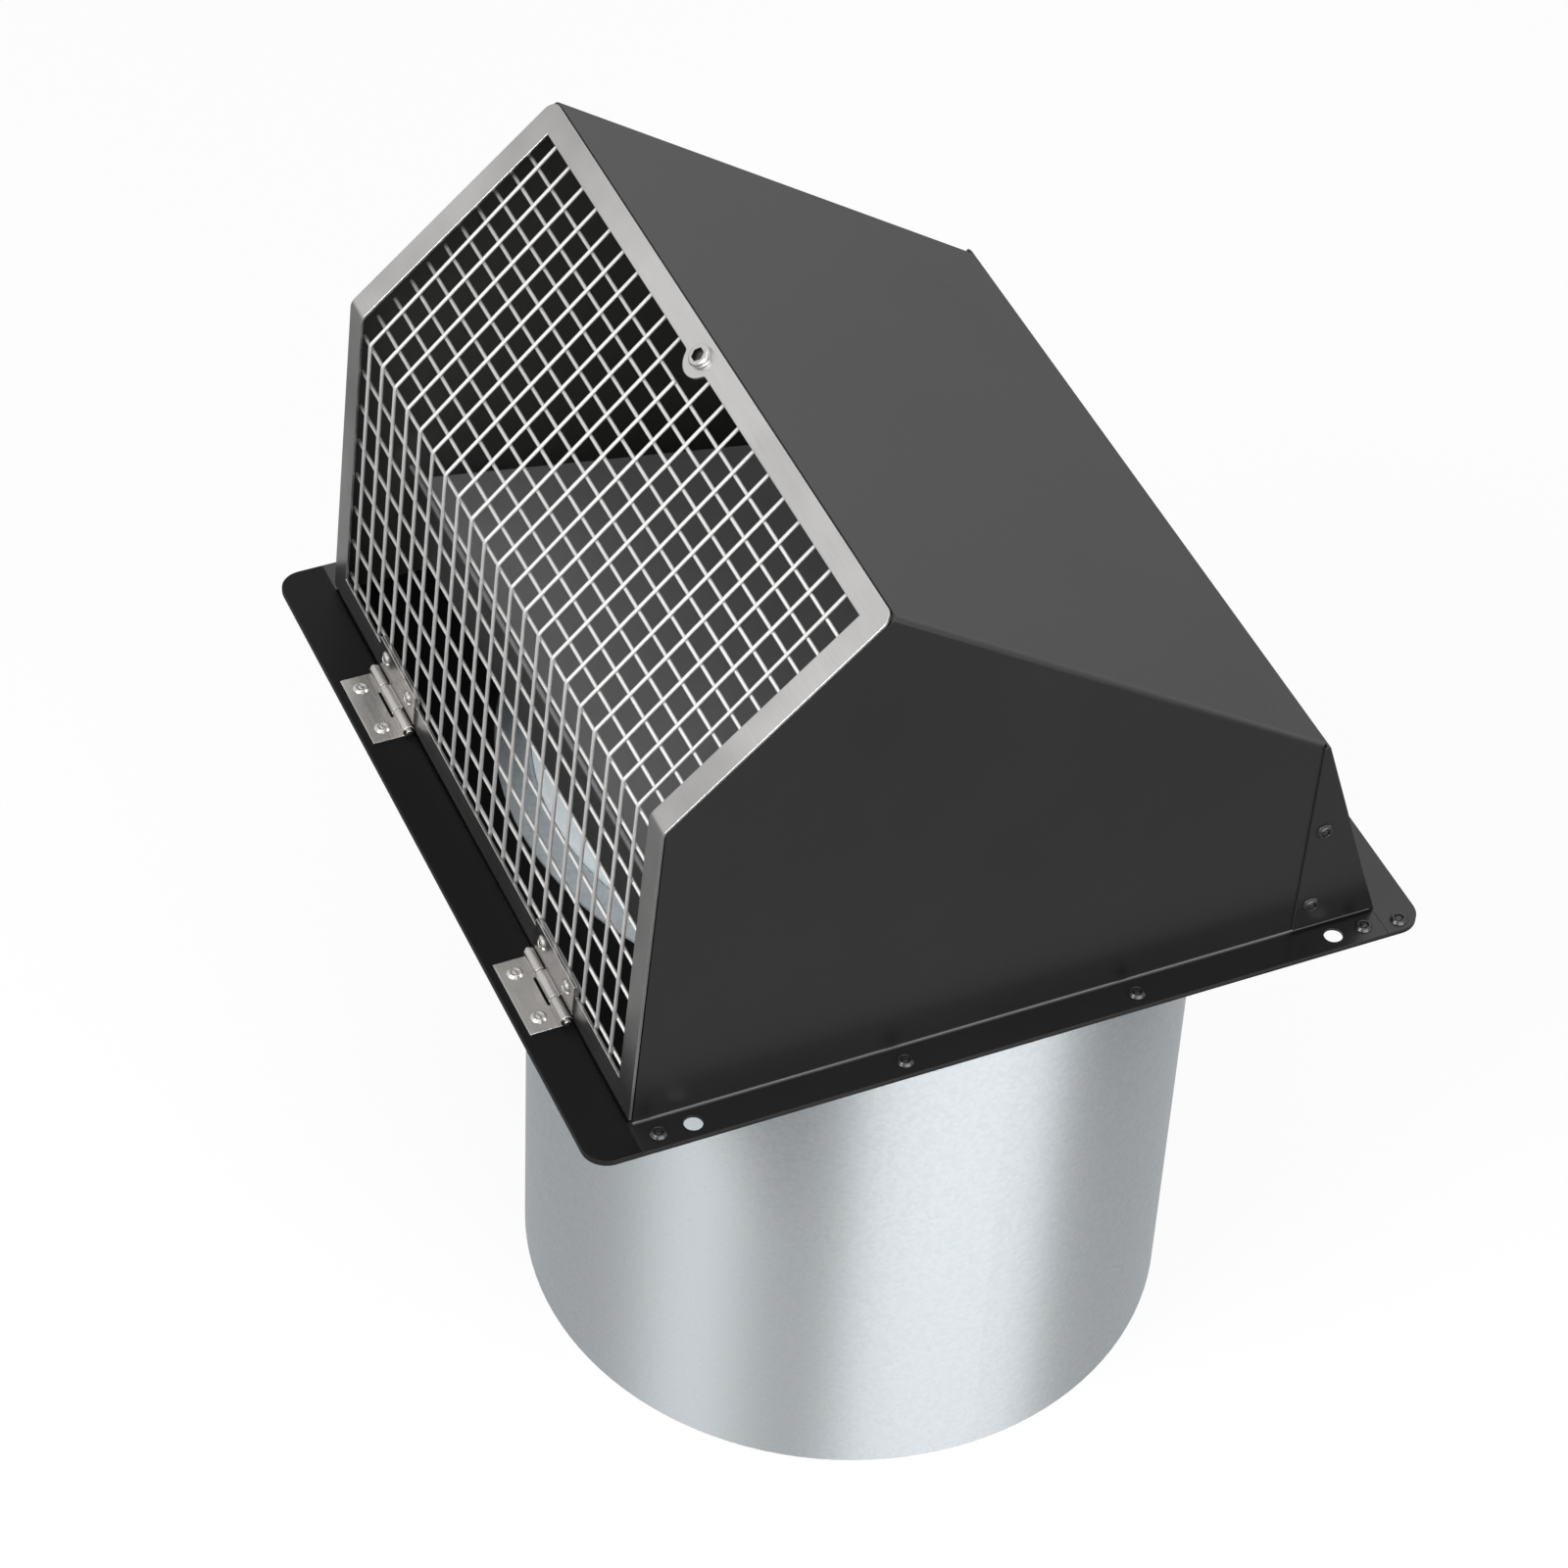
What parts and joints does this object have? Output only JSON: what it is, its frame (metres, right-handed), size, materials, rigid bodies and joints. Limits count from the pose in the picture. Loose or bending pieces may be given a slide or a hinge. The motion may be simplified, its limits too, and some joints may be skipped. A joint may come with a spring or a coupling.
{
  "type": "dryer vent cap",
  "caption": "Sheet metal vent hood on a square flange with a round duct tube, a hinged wire screen door across its bent front and a gravity damper flap inside.",
  "frame": {"origin": "on the duct tube's axis, at the flange's underside, where the vent meets the wall or roof", "axes": "+Z out of the surface that the flange is fixed to, along the duct tube; -Y is the side of the screen door, +Y the closed back; +X to the right seen from the door"},
  "size_m": [0.1912, 0.1913, 0.2811],
  "materials": {
    "black_paint": "satin black powder coat",
    "dark_sheet": "satin",
    "galvanised": "galvanised, soft gloss",
    "stainless": "brushed",
    "wire": "bright drawn wire",
    "rivet": "satin"
  },
  "bodies": {
    "hood": {"base_plate": "black_paint", "front_strip": "black_paint", "hood_shell": "black_paint", "back_panel": "black_paint", "duct_tube": "galvanised", "damper_collar": "galvanised", "damper_pin": "stainless", "damper_bracket_left": "galvanised", "damper_bracket_right": "galvanised", "hinge_fixed_leaf_left": "stainless", "hinge_fixed_leaf_right": "stainless", "hinge_pin_left": "stainless", "hinge_pin_right": "stainless", "flange_rivets_left": "rivet", "flange_rivets_right": "rivet", "back_flange_rivets": "rivet", "tab_rivets_left": "rivet", "tab_rivets_right": "rivet", "hinge_strip_rivets": "stainless", "bracket_rivets": "rivet"},
    "screen_door": {"screen_frame": "stainless", "screen_mesh": "wire", "screen_screw": "stainless", "hinge_moving_leaf_left": "stainless", "hinge_moving_leaf_right": "stainless", "hinge_frame_rivets": "stainless"},
    "damper": {"damper_flap": "dark_sheet"}
  },
  "joints": [
    {"name": "screen_door_hinge", "type": "hinge", "parent": "hood", "child": "screen_door", "pos_m": [0, -0.09515, 0.0027], "axis": [1, 0, 0], "range_deg": [0, 90]},
    {"name": "damper_hinge", "type": "hinge", "parent": "hood", "child": "damper", "pos_m": [0, 0.071, 0.01004], "axis": [-1, 0, 0], "range_deg": [0, 34]}
  ]
}
